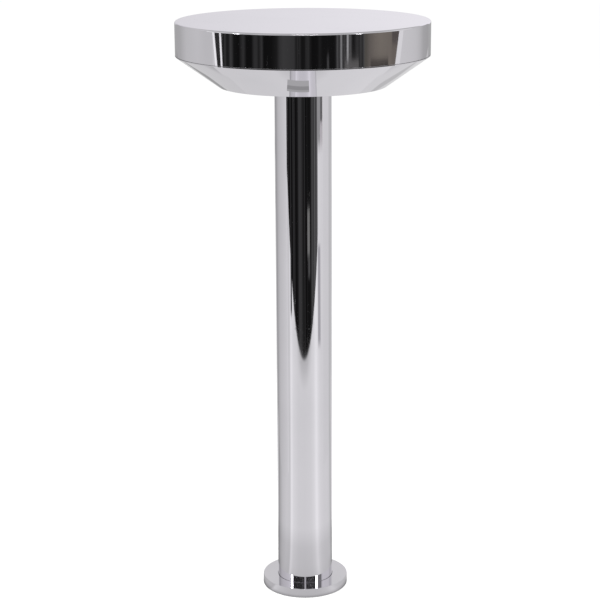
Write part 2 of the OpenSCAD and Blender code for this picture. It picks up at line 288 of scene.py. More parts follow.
def makePolished():
    v = polishValues
    made, tree, shader, place = startFinish("polishedSteel", Metallic=1.0)
    marks = use(tree, handling, Place=place, Size=v["film"], Scratching=v["scratching"])
    lines = use(tree, turnedLines, Place=place, Pitch=v["pitch"])["Lines"]
    join(tree, shader, "Base Color", mixed(tree, marks["Film"], v["steel"], v["filmed"]))
    rough = calc(tree, "MULTIPLY_ADD", marks["Film"], v["filmRough"], v["gloss"])
    rough = calc(tree, "MULTIPLY_ADD", marks["Scratch"], v["scratchRough"], rough)
    join(tree, shader, "Roughness", rough)
    height = calc(tree, "MULTIPLY_ADD", lines, v["lineShare"], noise(tree, place, v["waves"], detail=1.0))
    dent(tree, shader, height, v["waveDepth"])
    return made


satinValues = {"steel": (0.56, 0.56, 0.565, 1), "dull": (0.42, 0.41, 0.40, 1), "rough": (0.26, 0.46),
               "soot": (0.02, 0.018, 0.016, 1), "sootRough": 0.35, "sootCover": 0.8, "sootMetal": 0.35,
               "lineDepth": 6e-6, "pitch": 1600.0, "film": 22.0, "filmShare": 0.5, "lineShare": 0.45,
               "lineTone": (0.3, 0.75), "lineRough": (0.3, 0.7),
               "scratching": 0.66, "scratchRough": -0.08, "heatReach": 0.062, "lidReach": 0.085}


def makeSatin(name, straight=False, reach=0.0):
    v = satinValues
    made, tree, shader, place = startFinish(name, Metallic=1.0)
    marks = use(tree, handling, Place=place, Size=v["film"], Scratching=v["scratching"])
    if straight:
        lines = use(tree, brushedLines, Place=place)["Lines"]
    else:
        lines = use(tree, turnedLines, Place=place, Pitch=v["pitch"])["Lines"]
    tone = mixed(tree, times(tree, marks["Film"], v["filmShare"]), v["steel"], v["dull"])
    tone = mixed(tree, spread(tree, lines, *v["lineTone"], 0.0, v["lineShare"]), tone, v["dull"])
    rough = spread(tree, lines, *v["lineRough"], *v["rough"])
    if reach:
        warm = use(tree, heat, Place=place, Reach=reach, Bare=tone)
        tone = mixed(tree, times(tree, warm["Soot"], v["sootCover"]), warm["Color"], v["soot"])
        rough = calc(tree, "MULTIPLY_ADD", warm["Soot"], v["sootRough"], rough)
        join(tree, shader, "Metallic", lowered(tree, warm["Soot"], v["sootMetal"]))
    join(tree, shader, "Base Color", tone)
    join(tree, shader, "Roughness", calc(tree, "MULTIPLY_ADD", marks["Scratch"], v["scratchRough"], rough))
    dent(tree, shader, lines, v["lineDepth"])
    return made


zincValues = {"bright": (0.63, 0.65, 0.68, 1), "cloudy": (0.47, 0.48, 0.47, 1), "spangle": 190.0,
              "flakeShare": 0.45, "clouds": 60.0, "cloudFrom": (0.35, 0.7), "cloudShare": 0.5,
              "rough": (0.27, 0.5), "roughTo": 0.9, "pits": 700.0, "pitDepth": 1.5e-5}


def makeZinc():
    v = zincValues
    made, tree, shader, place = startFinish("zincSteel", Metallic=1.0)
    flakes = put(tree, "TexVoronoi", {"Vector": place, "Scale": v["spangle"]}, feature="SMOOTH_F1")
    tilt = put(tree, "SeparateColor", {0: flakes.outputs["Color"]}).outputs[0]
    cloud = noise(tree, place, v["clouds"], detail=5.0, rough=0.6)
    cloud = spread(tree, cloud, *v["cloudFrom"], 0.0, v["cloudShare"])
    amount = calc(tree, "MULTIPLY_ADD", tilt, v["flakeShare"], cloud)
    join(tree, shader, "Base Color", mixed(tree, amount, v["bright"], v["cloudy"]))
    join(tree, shader, "Roughness", spread(tree, amount, 0.0, v["roughTo"], *v["rough"]))
    dent(tree, shader, noise(tree, place, v["pits"], detail=3.0), v["pitDepth"])
    return made


tinValues = {"tin": (0.70, 0.70, 0.675, 1), "stained": (0.44, 0.38, 0.30, 1), "grime": (0.30, 0.27, 0.23, 1),
             "film": 26.0, "scratching": 0.67, "stains": 75.0, "stainShare": 0.6, "stainFrom": (0.56, 0.74),
             "dust": 0.25,
             "rough": (0.2, 0.42), "dustRough": 0.4, "dustMetal": 0.5, "peel": 420.0, "peelDepth": 1.2e-5}


def makeTin():
    v = tinValues
    made, tree, shader, place = startFinish("tinPlate", Metallic=1.0)
    marks = use(tree, handling, Place=place, Size=v["film"], Scratching=v["scratching"])
    stain = spread(tree, noise(tree, place, v["stains"], detail=6.0, rough=0.65), *v["stainFrom"])
    tone = mixed(tree, times(tree, stain, v["stainShare"]), v["tin"], v["stained"])
    grime = use(tree, dust, Place=place, Amount=v["dust"])["Dust"]
    join(tree, shader, "Base Color", mixed(tree, grime, tone, v["grime"]))
    rough = spread(tree, marks["Film"], 0.0, 1.0, *v["rough"])
    join(tree, shader, "Roughness", calc(tree, "ADD", times(tree, grime, v["dustRough"]), rough))
    join(tree, shader, "Metallic", lowered(tree, grime, v["dustMetal"]))
    dent(tree, shader, noise(tree, place, v["peel"], detail=3.0), v["peelDepth"])
    return made


brassValues = {"brass": (0.78, 0.56, 0.25, 1), "tarnish": (0.34, 0.20, 0.09, 1), "rough": (0.2, 0.45),
               "soot": (0.02, 0.016, 0.012, 1), "sootCover": 0.7, "heatReach": 0.03, "scratching": 0.66,
               "film": 55.0, "filmShare": 0.45, "lineShare": 0.35, "lineTone": (0.35, 0.75), "roughTo": 0.8,
               "lineDepth": 7e-6, "pitch": 1900.0}


def makeBrass():
    v = brassValues
    made, tree, shader, place = startFinish("brass", Metallic=1.0)
    marks = use(tree, handling, Place=place, Size=v["film"], Scratching=v["scratching"])
    lines = use(tree, turnedLines, Place=place, Pitch=v["pitch"])["Lines"]
    worn = spread(tree, lines, *v["lineTone"], 0.0, v["lineShare"])
    dull = calc(tree, "MULTIPLY_ADD", marks["Film"], v["filmShare"], worn)
    bare = mixed(tree, dull, v["brass"], v["tarnish"])
    warm = use(tree, heat, Place=place, Reach=v["heatReach"], Bare=bare)
    tone = mixed(tree, times(tree, warm["Soot"], v["sootCover"]), warm["Color"], v["soot"])
    join(tree, shader, "Base Color", tone)
    join(tree, shader, "Roughness", spread(tree, dull, 0.0, v["roughTo"], *v["rough"]))
    dent(tree, shader, lines, v["lineDepth"])
    return made


# how worn patches and grain show on everything soft, and then what each has of its own
wornValues = {"patches": 40.0, "from": (0.35, 0.7), "grainRough": (0.3, 0.7)}
softValues = {
    "blackRubber": {"tone": (0.028, 0.028, 0.03, 1), "worn": (0.075, 0.073, 0.07, 1), "rough": (0.55, 0.8),
                    "grain": 900.0, "depth": 4e-5, "dust": 0.45},
    "greySilicone": {"tone": (0.17, 0.172, 0.178, 1), "worn": (0.25, 0.25, 0.255, 1), "rough": (0.38, 0.58),
                     "grain": 1500.0, "depth": 1.5e-5, "dust": 0.3},
    "fibreWasher": {"tone": (0.36, 0.105, 0.06, 1), "worn": (0.20, 0.07, 0.045, 1), "rough": (0.6, 0.85),
                    "grain": 1100.0, "depth": 3e-5, "dust": 0.1},
}


def makeSoft(name):
    v, worn = softValues[name], wornValues
    made, tree, shader, place = startFinish(name, Metallic=0.0)
    grain = noise(tree, place, v["grain"], detail=3.0, rough=0.6)
    patches = spread(tree, noise(tree, place, worn["patches"], detail=4.0), *worn["from"])
    settled = use(tree, dust, Place=place, Amount=v["dust"])["Dust"]
    tone = mixed(tree, times(tree, patches, grain), v["tone"], v["worn"])
    join(tree, shader, "Base Color", mixed(tree, settled, tone, dustValues["tone"]))
    join(tree, shader, "Roughness", spread(tree, grain, *worn["grainRough"], *v["rough"]))
    dent(tree, shader, grain, v["depth"])
    return made


wickValues = {"yarn": (0.74, 0.70, 0.60, 1), "shade": (0.40, 0.36, 0.29, 1), "oiled": (0.42, 0.33, 0.20, 1),
              "burnt": (0.012, 0.011, 0.010, 1), "charFrom": 645.5, "charTo": 648.2, "charRagged": 2.4,
              "charNoise": 700.0, "oilTo": 640.0, "oilFull": 615.0, "oilShare": 0.8, "grooveShadeShare": 0.75,
              "fibres": (2600, 2600, 700), "fibreShade": (0.35, 0.7), "fibreDepth": 6e-5, "rough": 0.92,
              "sheen": 0.25}


def makeWick():
    v = wickValues
    made, tree, shader, place = startFinish("wickBraid", Roughness=v["rough"], Sheen_Weight=v["sheen"])
    high = put(tree, "SeparateXYZ", {0: place}).outputs[2]
    fibres = noise(tree, stretched(tree, place, *v["fibres"]), 1.0)
    groove = put(tree, "Attribute", attribute_name="groove").outputs["Fac"]
    tone = mixed(tree, spread(tree, fibres, *v["fibreShade"]), v["yarn"], v["shade"])
    # painted shade: the braid's grooves, by the groove attribute, darkened towards the shade colour
    tone = mixed(tree, times(tree, groove, v["grooveShadeShare"]), tone, v["shade"])
    oil = spread(tree, high, v["oilTo"] * mm, v["oilFull"] * mm, 0.0, v["oilShare"])
    tone = mixed(tree, oil, tone, v["oiled"])
    ragged = noise(tree, place, v["charNoise"], detail=3.0)
    ragged = calc(tree, "MULTIPLY_ADD", ragged, v["charRagged"] * mm, high)
    char = spread(tree, ragged, v["charFrom"] * mm, v["charTo"] * mm)
    join(tree, shader, "Base Color", mixed(tree, char, tone, v["burnt"]))
    dent(tree, shader, fibres, v["fibreDepth"])
    return made


finishes = {
    "polished": makePolished(),
    "satin": makeSatin("satinSteel"),
    "lidInner": makeSatin("satinLidInside", reach=satinValues["lidReach"]),
    "platform": makeSatin("satinBurnerPlate", straight=True, reach=satinValues["heatReach"]),
    "zinc": makeZinc(),
    "tin": makeTin(),
    "brass": makeBrass(),
    "rubber": makeSoft("blackRubber"),
    "silicone": makeSoft("greySilicone"),
    "fibre": makeSoft("fibreWasher"),
    "wick": makeWick(),
}
print("finishes made:", len(finishes))


def unit(rows):
    return rows / np.maximum(np.linalg.norm(rows, axis=-1, keepdims=True), 1e-12)


def roundedOutline(corners, steps, closed):
    # Rows of radius, height and rounding, in mm, with the sheet on the left of the way round. Each corner
    # becomes an exact arc, as s goes from 0 to 1: the weighted mean of the arc's start, the corner itself
    # and the arc's end, with weights (1-s)^2, 2s(1-s) times the sine of half the corner's angle, and s^2.
    # Its normals point from, or to, the arc's centre.
    rows = np.array([[*corner, 0.0][:3] for corner in corners], float) * mm
    here, size = rows[:, :2], rows[:, 2]
    back, ahead = unit(np.roll(here, 1, 0) - here), unit(np.roll(here, -1, 0) - here)
    half = 0.5 * np.arccos(np.clip((back * ahead).sum(1), -1, 1))
    reach = (size / np.tan(half))[:, None]
    centre = here + unit(back + ahead) * (size / np.sin(half))[:, None]
    way = np.sign(back[:, 1] * ahead[:, 0] - back[:, 0] * ahead[:, 1])
    s = np.linspace(0, 1, steps)[None, :, None]
    first, last, middle = (1 - s) ** 2, s ** 2, 2 * s * (1 - s) * np.sin(half)[:, None, None]
    start, end = (here + back * reach)[:, None], (here + ahead * reach)[:, None]
    points = (first * start + middle * here[:, None] + last * end) / (first + middle + last)
    normals = unit(points - centre[:, None]) * way[:, None, None]
    if closed:
        return points.reshape(-1, 2), normals.reshape(-1, 2)
    ends = unit(np.array([[here[1, 1] - here[0, 1], here[0, 0] - here[1, 0]],
                          [here[-1, 1] - here[-2, 1], here[-2, 0] - here[-1, 0]]]))
    points = np.vstack([here[:1], points[1:-1].reshape(-1, 2), here[-1:]])
    return points, np.vstack([ends[:1], normals[1:-1].reshape(-1, 2), ends[1:]])


def refined(points, normals, closed, longest):  # more rows, so that no step along the outline is over longest
    if closed:
        points, normals = np.vstack([points, points[:1]]), np.vstack([normals, normals[:1]])
    along = np.append(0, np.cumsum(np.linalg.norm(np.diff(points, axis=0), axis=1)))
    at = np.union1d(along, np.arange(0, along[-1], longest * mm))
    at = at[np.append(True, np.diff(at) > 1e-7)]
    points = np.stack([np.interp(at, along, points[:, i]) for i in (0, 1)], 1)
    normals = unit(np.stack([np.interp(at, along, normals[:, i]) for i in (0, 1)], 1))
    return (points[:-1], normals[:-1]) if closed else (points, normals)


def turned(name, corners, segments, steps, closed=True, longest=None, relief=None, inner=None):
    # A surface of revolution: the outline carried round Z, at angle a the point
    # (r cos a, r sin a, z). relief moves each point along its normal by mm. inner picks the rows of
    # the second material.
    points, normals = roundedOutline(corners, steps, closed)
    if longest:
        points, normals = refined(points, normals, closed, longest)
    angle = np.arange(segments)[None, :] * (2 * math.pi / segments)
    radius, height = points[:, :1] + 0 * angle, points[:, 1:] + 0 * angle
    if relief:
        push = relief(angle, radius / mm, height / mm, normals) * mm
        radius, height = radius + normals[:, :1] * push, height + normals[:, 1:] * push
    place = np.stack([radius * np.cos(angle), radius * np.sin(angle), height], -1)
    level, rise = normals[:, :1], normals[:, 1:] + 0 * angle
    facing = np.stack([level * np.cos(angle), level * np.sin(angle), rise], -1)
    low, high = (0, len(points)) if closed else (1, len(points) - 1)
    rows = high - low
    row = np.arange(rows if closed else rows - 1)[:, None]
    column = np.arange(segments)[None, :]
    beside, above = (column + 1) % segments, (row + 1) % rows
    quads = np.stack([row * segments + column, row * segments + beside,
                      above * segments + beside, above * segments + column], -1).reshape(-1, 4)
    vertices = place[low:high].reshape(-1, 3)
    facing = facing[low:high].reshape(-1, 3)
    faces = quads.tolist()
    if not closed:  # a pole at each end, closed with a fan
        first, last, top = rows * segments, rows * segments + 1, (rows - 1) * segments
        vertices = np.vstack([vertices, place[0, :1] * [0, 0, 1], place[-1, :1] * [0, 0, 1]])
        facing = np.vstack([facing, [[0, 0, np.sign(normals[end, 1])] for end in (0, -1)]])
        columns, besides = column[0], beside[0]
        faces += np.stack([0 * columns + first, besides, columns], -1).tolist()
        faces += np.stack([top + columns, top + besides, 0 * columns + last], -1).tolist()
    mesh = bpy.data.meshes.new(name)
    mesh.from_pydata(vertices.tolist(), [], faces)
    mesh.shade_smooth()
    if not relief:
        mesh.normals_split_custom_set_from_vertices(unit(facing).tolist())
    if inner:
        centres = np.zeros(len(faces) * 3)
        mesh.polygons.foreach_get("center", centres)
        middle = centres.reshape(-1, 3) / mm
        picked = inner(np.hypot(middle[:, 0], middle[:, 1]), middle[:, 2])
        mesh.polygons.foreach_set("material_index", picked.astype(np.int32))
    mesh.update()
    return mesh


def addPiece(mesh, name, node, slot, *materials):
    made = bpy.data.objects.new(name, mesh)
    scene.collection.objects.link(made)
    for material in materials:
        mesh.materials.append(finishes[material])
    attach(made, bodyOf[node])
    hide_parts(node)
    return made


dressValues = {"weld": 2e-6, "flatWithin": 0.5, "sharpFrom": 20.0, "bevelFrom": 30.0, "segments": 2}


def dressed(node, name, slot, material, edge):
    # A merged copy of a CAD node, with its coplanar triangles joined and its sharp edges rounded. The flat
    # faces stay flat beside their rounded edges.
    v = dressValues
    mesh = frame["nodes"][node].data.copy()
    mesh.name = name
    mesh.materials.clear()
    work = bmesh.new()
    work.from_mesh(mesh)
    bmesh.ops.remove_doubles(work, verts=work.verts, dist=v["weld"])
    flat = math.radians(v["flatWithin"])
    bmesh.ops.dissolve_limit(work, angle_limit=flat, verts=work.verts, edges=work.edges)
    work.to_mesh(mesh)
    work.free()
    mesh.shade_smooth()
    mesh.set_sharp_from_angle(angle=math.radians(v["sharpFrom"]))
    made = addPiece(mesh, name, node, slot, material)
    bevel = made.modifiers.new("edge", "BEVEL")
    bevel.width, bevel.segments, bevel.limit_method = edge * mm, v["segments"], "ANGLE"
    bevel.angle_limit, bevel.harden_normals = math.radians(v["bevelFrom"]), True


def boxOf(node):  # outer radius, lowest and highest height of a node, in mm
    low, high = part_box(node)
    return high.x / mm, low.z / mm, high.z / mm


def addTurned(node, name, slot, materials, corners, **how):
    addPiece(turned(name, corners, **how), name, node, slot, *materials)


def ringCorners(inside, radius, low, top, edge):
    return [(inside, low, edge), (radius, low, edge), (radius, top, edge), (inside, top, edge)]


def capCorners(radius, low, top, sheet, edge, bend, hem):  # a cap of sheet, open below
    inside, under = radius - sheet, top - sheet
    return [(0, under), (inside, under, bend), (inside, low, hem),
            (radius, low, hem), (radius, top, edge), (0, top)]


lidValues = {"sheet": 1.5, "edge": 2.0, "bend": 1.25, "hem": 0.25}


def makeLid():
    v = lidValues
    radius, low, top = boxOf("lid_shell")

    def isInner(r, z):
        return (r < radius - 0.5 * v["sheet"]) & (z < top - 0.5 * v["sheet"])

    corners = capCorners(radius, low, top, **v)
    addTurned("lid_shell", "lidSheet", "polished_steel", ("polished", "lidInner"), corners,
              segments=360, steps=12, closed=False, inner=isInner)


snufferValues = {"sheet": 0.8, "edge": 1.6, "bend": 0.9, "hem": 0.38}


def makeSnuffer():
    corners = capCorners(*boxOf("snuffer_cup"), **snufferValues)
    addTurned("snuffer_cup", "snufferCup", "satin_steel", ("lidInner",), corners,
              segments=160, steps=8, closed=False)


makeLid()
makeSnuffer()
dressed("snuffer_nuts", "snufferNuts", "zinc_steel", "zinc", edge=0.25)
print("lid made")


bowlValues = {"sheet": 1.5, "flatR": 93.0, "flatEdge": 1.6, "lip": 0.8, "crease": 0.3, "seamGap": 0.3,
              "stand": 136.5, "standSheet": 1.5, "shoulder": 0.03, "hem": 0.35, "bendIn": 2.0,
              "aboveSeam": 0.2, "underFloor": 0.5}


def makeBowl():
    v = bowlValues
    radius, low, top = boxOf("bowl_shell")
    seam = boxOf("lid_shell")[1] - v["seamGap"]
    rise = seam - v["lip"] - low
    slope = (radius - v["flatR"]) / rise  # how far the wall leans out for each mm of height
    skew = v["sheet"] * math.hypot(1, slope)  # the wall's thickness, measured level
    floor, standIn = low + v["sheet"], v["stand"] - v["standSheet"]
    turn = low + (standIn + skew - v["flatR"]) / slope  # where the wall's inside meets the upstand
    corners = [(0, low), (v["flatR"], low, v["flatEdge"]), (radius, seam - v["lip"], v["crease"]),
               (radius, seam, v["shoulder"]), (v["stand"], seam, v["shoulder"]), (v["stand"], top, v["hem"]),
               (standIn, top, v["hem"]), (standIn, turn, v["bendIn"]),
               (v["flatR"] + v["sheet"] * slope - skew, floor, v["bendIn"]), (0, floor)]

    def isInner(r, z):
        behindWall = r < v["flatR"] + (z - low) * slope - 0.5 * skew
        return (z > seam + v["aboveSeam"]) | ((z > floor - v["underFloor"]) & behindWall)

    addTurned("bowl_shell", "bowlSheet", "polished_steel", ("polished", "satin"), corners,
              segments=360, steps=10, closed=False, inner=isInner)


sealValues = {"thick": 1.3, "gap": 0.1, "tip": 0.3, "slot": 0.15}


def makeSeal():
    v = sealValues
    radius, low, top = boxOf("rim_seal")
    outer = bowlValues["stand"] + v["gap"]
    inner = bowlValues["stand"] - bowlValues["standSheet"] - v["gap"]
    inside, under = inner - v["thick"], top - v["thick"]
    corners = [(radius, low, v["tip"]), (radius, top, v["thick"]), (inside, top, v["thick"]),
               (inside, low, v["tip"]), (inner, low, v["tip"]), (inner, under, v["slot"]),
               (outer, under, v["slot"]), (outer, low, v["tip"])]
    addTurned("rim_seal", "rimTrim", "grey_silicone", ("silicone",), corners, segments=288, steps=6)


ledgeValues = {"sheet": 1.5, "width": 7.0, "edge": 0.4, "bend": 0.9}


def makeLedge():
    v = ledgeValues
    radius, low, top = boxOf("plate_ledge")
    leg, tip, under = radius - v["sheet"], radius - v["width"], top - v["sheet"]
    corners = [(leg, low, v["edge"]), (radius, low, v["edge"]), (radius, top, v["bend"]),
               (tip, top, v["edge"]), (tip, under, v["edge"]), (leg, under, v["edge"])]
    addTurned("plate_ledge", "plateLedge", "satin_steel", ("satin",), corners, segments=256, steps=5)


cradleValues = {"width": 16.0, "lip": 3.0, "lipHeight": 4.0, "gap": 0.3, "edge": 0.8, "corner": 0.4,
                "ribs": 48, "ribDepth": 0.5, "ribInset": 1.5, "facing": 0.9, "close": 0.05}


def makeCradle():
    # A rubber ring with a lip. Its bearing face has shallow radial grooves: the depth is a cosine of
    # the angle, cut off below a half, on the faces that look up inside the lip. facing is the least share
    # of a normal that points the wanted way there, and close is how near the face a point lies, in mm.
    v = cradleValues
    radius, low, top = boxOf("canister_cradle")
    lipIn, bearing = radius - v["lip"], top - v["lipHeight"]
    inside = lipIn - v["gap"] - v["width"]
    corners = [(inside, low, v["corner"]), (radius, low, v["corner"]), (radius, top, v["edge"]),
               (lipIn, top, v["edge"]), (lipIn, bearing, v["corner"]), (inside, bearing, v["edge"])]

    def grooves(angle, r, z, normals):
        wave = np.clip(np.cos(angle * v["ribs"]) - 0.5, 0, None) * 2
        onFace = (np.abs(z - bearing) < v["close"]) & (normals[:, 1:] > v["facing"])
        inLip = (r < lipIn - v["ribInset"]) & (r > inside + v["ribInset"])
        return -v["ribDepth"] * wave * (onFace & inLip)

    addTurned("canister_cradle", "canisterCradle", "black_rubber", ("rubber",), corners,
              segments=10 * v["ribs"], steps=5, longest=2.5, relief=grooves)


makeBowl()
makeSeal()
makeLedge()
makeCradle()
dressed("bowl_hub", "bowlHub", "satin_steel", "satin", edge=0.5)
dressed("bowl_screws", "bowlScrews", "zinc_steel", "zinc", edge=0.15)
print("bowl made")


canisterValues = {"sheet": 1.0, "corner": 3.0, "edge": 0.3, "seamEdge": 0.45, "bore": 18.5}


def makeCanister():
    v = canisterValues
    radius, low, top = boxOf("canister_pan")
    inside, floor = radius - v["sheet"], low + v["sheet"]
    corners = [(0, low), (radius, low, v["corner"]), (radius, top, v["edge"]), (inside, top, v["edge"]),
               (inside, floor, v["corner"] - v["sheet"]), (0, floor)]
    addTurned("canister_pan", "canisterPan", "tin_plate", ("tin",), corners,
              segments=256, steps=8, closed=False)
    radius, low, top = boxOf("canister_roof")
    inside, under = radius - v["sheet"], top - v["sheet"]
    corners = [(v["bore"], under, v["edge"]), (inside, under, v["edge"]), (inside, low, v["edge"]),
               (radius, low, v["seamEdge"]), (radius, top, v["seamEdge"]), (v["bore"], top, v["edge"])]
    addTurned("canister_roof", "canisterRoof", "tin_plate", ("tin",), corners, segments=256, steps=7)


neckValues = {"bore": 18.5, "flange": 1.5, "radius": 21.5, "edge": 0.4, "root": 0.3, "pitch": 1.5,
              "threadDepth": 0.75, "threadFrom": 0.6, "fade": 0.8, "facing": 0.95, "close": 0.05,
              "washerEdge": 0.2}


def makeNeck():
    # A ring with a thread. The wall sinks below its outer radius by a wave to the power of 1.5: half of one
    # less the cosine of a turn for each pitch of height less the angle. It fades out at both ends.
    v = neckValues
    radius, low, top = boxOf("neck_ring")
    flangeTop = low + v["flange"]
    corners = [(v["bore"], low, v["edge"]), (radius, low, v["edge"]), (radius, flangeTop, v["edge"]),
               (v["radius"], flangeTop, v["root"]), (v["radius"], top, v["edge"]),
               (v["bore"], top, v["edge"])]

    def thread(angle, r, z, normals):
        wave = 0.5 - 0.5 * np.cos(2 * math.pi * (z / v["pitch"] - angle / (2 * math.pi)))
        fade = np.clip((z - flangeTop - v["threadFrom"]) / v["fade"], 0, 1)
        fade = fade * np.clip((top - v["threadFrom"] - z) / v["fade"], 0, 1)
        onWall = (normals[:, :1] > v["facing"]) * (np.abs(r - v["radius"]) < v["close"])
        return -v["threadDepth"] * wave ** 1.5 * fade * onWall

    addTurned("neck_ring", "neckRing", "brass", ("brass",), corners,
              segments=192, steps=5, longest=0.16, relief=thread)
    corners = ringCorners(v["bore"], *boxOf("neck_washer"), v["washerEdge"])
    addTurned("neck_washer", "neckWasher", "fibre_washer", ("fibre",), corners, segments=128, steps=5)


makeCanister()
makeNeck()
print("canister made")


holderValues = {"gap": 0.1, "tubeWall": 1.0, "discEdge": 0.4, "boreEdge": 0.2, "tubeEdge": 0.42}


def makeHolder():
    v = holderValues
    tubeR, low, top = boxOf("wick_tube")
    corners = ringCorners(tubeR - v["tubeWall"], tubeR, low, top, v["tubeEdge"])
    addTurned("wick_tube", "wickTube", "brass", ("brass",), corners, segments=96, steps=7)
    radius, low, top = boxOf("wick_holder")
    inside = tubeR + v["gap"]
    corners = [(inside, low, v["boreEdge"]), (radius, low, v["discEdge"]), (radius, top, v["discEdge"]),
               (inside, top, v["boreEdge"])]
    addTurned("wick_holder", "wickHolder", "brass", ("brass",), corners, segments=128, steps=6)


collarValues = {"bore": 21.9, "roof": 2.5, "hole": 12.0, "topEdge": 1.1, "edge": 0.5, "holeEdge": 0.8,
                "grooves": 40, "grooveR": 0.9, "grooveOut": 0.36, "plain": 1.1, "plainLow": 0.2, "fade": 0.5,
                "facing": 0.9, "close": 0.2}


def makeCollar():
    # A turned cap with a knurled rim. A groove is a circle whose centre is a little outside the rim, so
    # its depth at a distance x beside its middle is the root of R^2 - x^2, less that little.
    v = collarValues
    radius, low, top = boxOf("collar_nut")
    under = top - v["roof"]
    corners = [(v["bore"], low, v["edge"]), (radius, low, v["edge"]), (radius, top, v["topEdge"]),
               (v["hole"], top, v["holeEdge"]), (v["hole"], under, v["edge"]), (v["bore"], under, v["edge"])]

    def knurl(angle, r, z, normals):
        step = 2 * math.pi / v["grooves"]
        beside = (np.mod(angle + step / 2, step) - step / 2) * radius
        deep = np.sqrt(np.clip(v["grooveR"] ** 2 - beside ** 2, 0, None)) - v["grooveOut"]
        fade = np.clip((z - low - v["plainLow"]) / v["fade"], 0, 1)
        fade = fade * np.clip((top - v["plain"] - z) / v["fade"], 0, 1)
        onRim = (normals[:, :1] > v["facing"]) * (r > radius - v["close"])
        return -np.clip(deep, 0, None) * fade * onRim

    addTurned("collar_nut", "collarNut", "brass", ("brass",), corners,
              segments=16 * v["grooves"], steps=6, longest=0.9, relief=knurl)


braidValues = {"strands": 8, "lay": 5.2, "depth": 0.42, "frayed": 0.5, "tufts": ((7, 3.1), (5, -2.3)),
               "end": 0.3, "crown": 2.52, "darker": 2.2}


def makeWickMesh():
    # A round braid: two sets of strands wind opposite ways. The surface sinks between strands by one less
    # the higher of two cosines, of half the sum and half the difference of the angle times the strand
    # count and a turn for each lay of height. Its top is frayed by a sine times a cosine of the angle
    # and radius.
    v = braidValues
    radius, low, top = boxOf("wick")
    corners = [(0, low), (radius, low, v["end"]), (radius, top, v["crown"]), (0, top)]

    def height(angle, z):
        wound, rise = v["strands"] * angle, 2 * math.pi * z / v["lay"]
        return np.maximum(np.abs(np.cos(0.5 * (wound + rise))), np.abs(np.cos(0.5 * (wound - rise))))

    def braid(angle, r, z, normals):
        first, second = (turn * angle + out * r for turn, out in v["tufts"])
        tips = 0.5 + 0.5 * np.sin(first) * np.cos(second)
        crown = np.clip(normals[:, 1:], 0, 1) * np.clip(r / radius, 0, 1)
        return -v["depth"] * (1 - height(angle, z)) * np.clip(r / radius, 0, 1) - v["frayed"] * tips * crown

    mesh = turned("wickBraid", corners, segments=160, steps=9, closed=False, longest=0.45, relief=braid)
    places = np.zeros(len(mesh.vertices) * 3)
    mesh.vertices.foreach_get("co", places)
    x, y, z = places.reshape(-1, 3).T
    # how deep each point lies between the strands, kept for the painted shade in the braid's grooves
    deep = np.clip((1 - height(np.arctan2(y, x), z / mm)) * v["darker"], 0, 1)
    mesh.attributes.new("groove", "FLOAT", "POINT").data.foreach_set("value", deep)
    addPiece(mesh, "wickBraid", "wick", "wick_braid", "wick")


makeHolder()
makeCollar()
makeWickMesh()
dressed("burner_plate", "burnerPlate", "satin_steel", "platform", edge=0.3)
print("burner made")


columnValues = {"wall": 2.0, "edge": 0.3}
coverValues = {"sheet": 1.0, "edge": 0.5, "slip": 0.4, "bend": 0.4, "hem": 0.2}


def makeColumn():
    v = columnValues
    radius, low, top = boxOf("column_tube")
    corners = ringCorners(radius - v["wall"], radius, low, top, v["edge"])
    addTurned("column_tube", "columnTube", "polished_steel", ("polished",), corners, segments=256, steps=6)


def makeCover():
    v = coverValues
    radius, low, top = boxOf("base_cover")
    inside, under, hole = radius - v["sheet"], top - v["sheet"], boxOf("column_tube")[0] + v["slip"]
    corners = [(inside, low, v["hem"]), (radius, low, v["hem"]), (radius, top, v["edge"]),
               (hole, top, v["hem"]), (hole, under, v["hem"]), (inside, under, v["bend"])]
    addTurned("base_cover", "baseCover", "polished_steel", ("polished",), corners, segments=256, steps=9)


makeColumn()
makeCover()
dressed("base_plate", "basePlate", "zinc_steel", "zinc", edge=0.5)
dressed("base_pad", "basePad", "black_rubber", "rubber", edge=0.25)

# the CAD nodes that stay as they are
carried = {"base_screws": "zinc", "bottom_plug": "zinc", "top_plug": "zinc", "column_gasket": "rubber",
           "lid_studs": "zinc"}
for node, finish in carried.items():
    for place in frame["nodes"][node].material_slots:
        place.material = finishes[finish]
print("column and base made")


steelShine = 0.845  # the share of light that the polished steel gives back


def light(level):  # a screen level from 0 to 255, as the light that gives it
    share = level / 255
    return share / 12.92 if share <= 0.04045 else ((share + 0.055) / 1.055) ** 2.4


def seen(level):  # the light, grey or coloured, that the polished steel shows at this screen level
    return tuple(map(seen, level)) if isinstance(level, tuple) else light(level) / steelShine


def steelRamp(tree, value, levels):  # a ramp of lights that the polished steel shows at these levels
    return ramp(tree, value, {at: seen(level) for at, level in levels.items()})


def shareRamp(tree, value, shares, most):  # a ramp ends at 1, so the shares are divided by most before it
    return times(tree, ramp(tree, value, {at: share / most for at, share in shares.items()}), most)


def levelCorners(x0, y0, x1, y1, z):
    return [(x0, y0, z), (x1, y0, z), (x1, y1, z), (x0, y1, z)]


def addStage(name, corners, material):
    mesh = bpy.data.meshes.new(name)
    mesh.from_pydata(corners, [], [tuple(range(len(corners)))])
    mesh.materials.append(material)
    made = bpy.data.objects.new(name, mesh)
    scene.collection.objects.link(made)
    return made


def startBackdrop(name):
    made, tree = startMaterial(name)
    return made, tree, put(tree, "SeparateXYZ", {0: put(tree, "TexCoord").outputs["Object"]}).outputs
